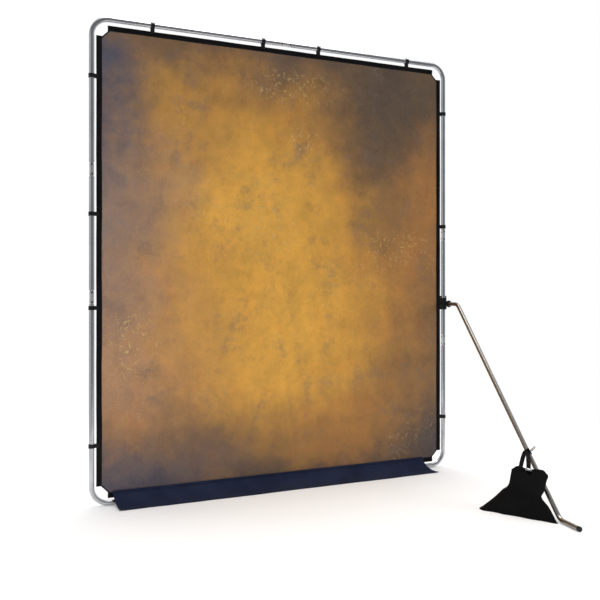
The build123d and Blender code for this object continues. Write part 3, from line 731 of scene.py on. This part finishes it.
def skirt_surface():
    """The section carried along x, with ripples that grow towards the front edge and shaped ends."""
    section = smooth_curve(SKIRT_SECTION, SKIRT_ROWS)
    t = np.linspace(0, 1, SKIRT_ROWS)[:, None]
    u = np.linspace(0, 1, SKIRT_COLUMNS)[None, :]
    x = skirt_low[0] - LEFT_OUT + u * (skirt_high[0] - skirt_low[0] + LONGER)
    ripple = np.sin(x * 7.3 + 0.6) + 0.6 * np.sin(x * 17.0 + 2.1) + 0.35 * np.sin(x * 41.0)
    y = section[:, :1] + 0 * u + SKIRT_RIPPLE * ripple * t**2
    z = section[:, 1:] + 0 * u
    waist = bell(t, 0.5, 0.22)
    z = z + SKIRT_RIPPLE * waist * np.sin(x * 9.1 + 1.2) + 0.0008 * waist * np.sin(x * 23.0)
    left = np.clip(1 - u / LEFT_END_SHARE, 0, 1) ** 2
    right = np.clip(1 - (1 - u) / RIGHT_END_SHARE, 0, 1) ** 2
    x = x + 0.016 * left * t * (1.6 - t) - 0.020 * right * (1 - t) + 0.010 * right * t**3
    y = y - 0.006 * left * t**2 - 0.004 * right * t**2
    z = z + 0.010 * left * t * (1 - 0.4 * t) + 0.003 * right * t
    return np.stack([x, y, np.maximum(z, SKIRT_WALL * 0.7)], -1)


skirt_points = skirt_surface()
skirt = piece("navy_skirt", skirt_points, skirt_navy)
thicken(skirt, SKIRT_WALL)

# %% [markdown]
# A tape covers the seam where the skirt is sewn to the hem. It stands a little proud, and catches the
# light as a thin line.

# %% Make the seam tape
SEAM_HALF = 0.0075
SEAM_HEIGHT, SEAM_FRONT, SEAM_PROUD = 0.0595, -0.0090, 0.0009


def seam_tape():
    """A flat oval carried along the top of the skirt."""
    turn = np.linspace(0, 2 * np.pi, 16, endpoint=False)
    x = np.linspace(skirt_low[0] - 0.006, skirt_high[0] - 0.022, 240)
    z = SEAM_HEIGHT + 0.0004 * np.sin(x * 13.0)
    loop = np.stack([0 * turn, SEAM_FRONT + SEAM_PROUD * np.sin(turn), SEAM_HALF * np.cos(turn)], -1)
    line = np.stack([x, 0 * x, z], -1)
    return line[:, None, :] + loop[None, :, :]


seam = piece("skirt_seam_tape", seam_tape(), skirt_navy, closed=True, capped=True)
for soft in (skirt, seam):
    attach(soft, "frame_base")
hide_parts("floor_skirt")

# %% [markdown]
# ## The sandbag
# The bag is two sewn pouches side by side, full of sand. The sand spreads at the foot, so the lower
# corners stand out as points, and the upper part is slack and narrow. Its outline at each height is a
# rounded quadrilateral, whose four corners run along smooth curves from the foot to the ridge. A hump
# function lowers the ridge between the pouches, where the ring lies, and presses a crease down both faces.

# %% Find the bag's corners
hang = next(j for j in frame["joints"] if j["name"] == "sandbag_swing")
strap_centre = np.array(hang["pos_m"], float)
slope = np.array(hang["axis"], float)
slope = slope / np.linalg.norm(slope)
RIDGE_HEIGHT = float(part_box("sandbag")[1][2])
LOBE_RISE = 0.011
BAG_LEVELS = np.array([  # height, then front left, front right, back right and back left corners
    (0.002, 0.624, -0.784, 0.804, -1.114, 0.811, -1.083, 0.744, -0.730),
    (0.060, 0.681, -0.832, 0.800, -1.064, 0.806, -1.045, 0.743, -0.785),
    (0.092, 0.706, -0.853, 0.794, -1.022, 0.806, -1.008, 0.744, -0.820),
    (0.128, 0.730, -0.874, 0.797, -1.033, 0.809, -1.022, 0.748, -0.857),
    (RIDGE_HEIGHT + LOBE_RISE, 0.735, -0.889, 0.805, -1.051, 0.813, -1.042, 0.746, -0.878)])
RING_PLACE = 0.47
BAG_ROWS, BAG_COLUMNS = 120, 160
ROUND_TOP, ROUND_FOOT = 0.10, 0.05
BAG_POWER = 0.34
LEVEL_STEPS = 400
TOP_DROP, VALLEY_DEPTH, SHOULDER_DROP = 0.010, 0.034, 0.016
LEFT_POUCH, RIGHT_POUCH, POUCH_SPREAD = 0.22, 0.75, 0.16
CREASE, FULLNESS, SLACK = 0.55, 0.20, 0.10  # shares of the bag's half depth


def bag_surface():
    """Rows rise from foot to ridge. Each is a squared circle laid in the four corners of its level."""
    v = np.linspace(0, 1, BAG_ROWS)[:, None]
    turn = np.linspace(0, 2 * np.pi, BAG_COLUMNS, endpoint=False)[None, :]
    p, q = squared(np.cos(turn), BAG_POWER), squared(np.sin(turn), BAG_POWER)
    top = np.clip((v - 1 + ROUND_TOP) / ROUND_TOP, 0, 1)
    foot = np.clip(1 - v / ROUND_FOOT, 0, 1)
    rise = np.clip((v - ROUND_FOOT) / (1 - ROUND_TOP - ROUND_FOOT), 0, 1)
    level = smooth_curve(BAG_LEVELS, LEVEL_STEPS)
    at = (rise[:, 0] * (LEVEL_STEPS - 1)).astype(int)
    corners = level[at, 1:].reshape(-1, 4, 2)
    along = (p + 1) / 2
    depth = np.sqrt(1 - 0.9998 * top**2) * np.sqrt(1 - 0.97 * foot**2)
    upper = np.clip((rise - 0.45) / 0.55, 0, 1)
    crease = CREASE * bell(along, RING_PLACE - 0.03, 0.06) * np.clip(rise * 3.5 - 0.9, 0, 1)
    pouches = bell(along, LEFT_POUCH, POUCH_SPREAD) + bell(along, RIGHT_POUCH, POUCH_SPREAD)
    full = FULLNESS * pouches * np.sin(np.pi * rise)
    slack = SLACK * np.sin(along * 21 + rise * 8) * np.sin(rise * 8 + 1) * (1 - top)
    q = q * depth * (1 - crease + full + slack * np.abs(q))
    p = p * (1 - (1 - depth) * 0.10)
    weights = [(1 - p) * (1 - q), (1 + p) * (1 - q), (1 + p) * (1 + q), (1 - p) * (1 + q)]
    xy = sum(w[..., None] / 4 * corners[:, None, i] for i, w in enumerate(weights))
    z = level[at, :1] - TOP_DROP * (1 - np.sin(np.pi / 2 * top)) * (rise > 0.999) + 0 * turn
    z = z - TOP_DROP * np.clip(rise - 0.9, 0, 0.1) * 10 * (rise < 0.999)
    z = z - VALLEY_DEPTH * bell(along, RING_PLACE, 0.11) * upper**2
    z = z - SHOULDER_DROP * (bell(along, 0.0, 0.09) + bell(along, 1.0, 0.07)) * upper**2
    return np.concatenate([xy, z[..., None]], -1)


bag = piece("sandbag_body", bag_surface(), bag_black, closed=True, capped=True)
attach(bag, "bag")
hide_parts("sandbag")
print("bag height", round(RIDGE_HEIGHT + LOBE_RISE, 3), "m")

# %% [markdown]
# The foot of the bag is closed by a piped seam, which is a thin cord in a fold of cloth. It runs round the
# same outline as the bag's lowest rows.

# %% Pipe the bag's foot seam
PIPING_RADIUS = 0.0022
PIPING_SIDES = 10
SEAM_ROW = 6  # the row of the bag that the seam follows


def tube_along(path, radius):
    """A round tube: at each point of the path, a ring square to the path's direction."""
    way = directions(path)
    side = np.cross(way, (0.0, 0.02, 1.0))
    side = side / np.linalg.norm(side, axis=1)[:, None]
    top = np.cross(side, way)
    turn = np.linspace(0, 2 * np.pi, PIPING_SIDES, endpoint=False)
    ring = np.cos(turn)[None, :, None] * side[:, None] + np.sin(turn)[None, :, None] * top[:, None]
    return path[:, None] + radius * ring


seam_row = bag_surface()[SEAM_ROW]
seam_loop = np.vstack([seam_row, seam_row[:1]])
piping = piece("sandbag_piping", tube_along(seam_loop, PIPING_RADIUS), bag_black, closed=True)
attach(piping, "bag")

# %% [markdown]
# ## Straps
# Webbing is a flat band. A band is a rounded strip carried along a path. Its width lies along the bag's
# ridge at the foot and turns along the leg at the top. One strap is sewn into the left pouch and loops
# over the leg. The other passes through the steel ring in the valley and goes up to the snap hook.

# %% Helper for bands
aside = np.cross((0, 0, 1), slope)
aside = aside / np.linalg.norm(aside)
over = np.cross(slope, aside)
STRAP_WIDTH = 0.020
STRAP_THICKNESS = 0.002


def band(name, path, material, wide_way, closed=False):
    """A strip with rounded edges along the path. Its width follows wide_way, turned square to the path."""
    way = directions(path, closed)
    wide = wide_way - way * (way * wide_way).sum(1)[:, None]
    wide = wide / np.linalg.norm(wide, axis=1)[:, None]
    thin = np.cross(way, wide)
    turn = np.linspace(0, 2 * np.pi, 16, endpoint=False)
    flat = squared(np.cos(turn), 0.35) * STRAP_WIDTH / 2
    deep = squared(np.sin(turn), 0.6) * STRAP_THICKNESS / 2
    points = path[:, None] + flat[None, :, None] * wide[:, None] + deep[None, :, None] * thin[:, None]
    if closed:
        points = np.concatenate([points, points[:1]])
    return piece(name, points, material, closed=True, capped=not closed)


# %% [markdown]
# The first strap's loop is a circle round the leg, just clear of it, and its run comes off the side of the
# loop nearest the bag. The second strap leaves the ring upright and leans over to the leg. Each run is a
# smooth curve through four or five points, given from the ridge, the ring or the leg.

# %% Make the straps
LEG_RADIUS = 0.011
LOOP_GAP = 0.0003
STRAP_ROWS = 40
loop_radius = LEG_RADIUS + LOOP_GAP + STRAP_THICKNESS / 2
turn = np.linspace(0, 2 * np.pi, 60, endpoint=False)[:, None]
loop_path = strap_centre + loop_radius * (np.cos(turn) * aside + np.sin(turn) * over)
leg_loop = band("strap_loop", loop_path, webbing_black, slope[None, :], closed=True)
ridge_start = np.array((0.738, -0.886, RIDGE_HEIGHT))
ridge_end = np.array((0.805, -1.046, RIDGE_HEIGHT))
ridge_way = (ridge_end - ridge_start) / np.linalg.norm(ridge_end - ridge_start)
sewn_in = ridge_start + ridge_way * 0.045
left_points = np.array([sewn_in - np.array((0, 0, 0.022)),
                        sewn_in + np.array((0, 0, 0.006)),
                        strap_centre + over * 0.006 - aside * 0.024,
                        strap_centre + over * 0.0145 - aside * 0.0085,
                        strap_centre + over * 0.0150 + aside * 0.0020])
to_leg = np.linspace(0, 1, STRAP_ROWS)[:, None] ** 1.5
turning = (1 - to_leg) * ridge_way + to_leg * slope
left_strap = band("left_strap", smooth_curve(left_points, STRAP_ROWS), webbing_black, turning)
ring_low, ring_high = (np.array(c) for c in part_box("bag_ring"))
ring_top = np.append((ring_low[:2] + ring_high[:2]) / 2, RIDGE_HEIGHT)
right_points = np.array([ring_top + np.array((0, 0, 0.009)),
                         ring_top + np.array((0, 0, 0.022)),
                         strap_centre + over * 0.016 - aside * 0.010,
                         strap_centre + over * 0.024 - aside * 0.006])
right_strap = band("ring_side_strap", smooth_curve(right_points, STRAP_ROWS), webbing_black, turning)
for soft, cad_name in ((leg_loop, None), (left_strap, "bag_strap"), (right_strap, "ring_strap")):
    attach(soft, "bag")
    if cad_name:
        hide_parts(cad_name)
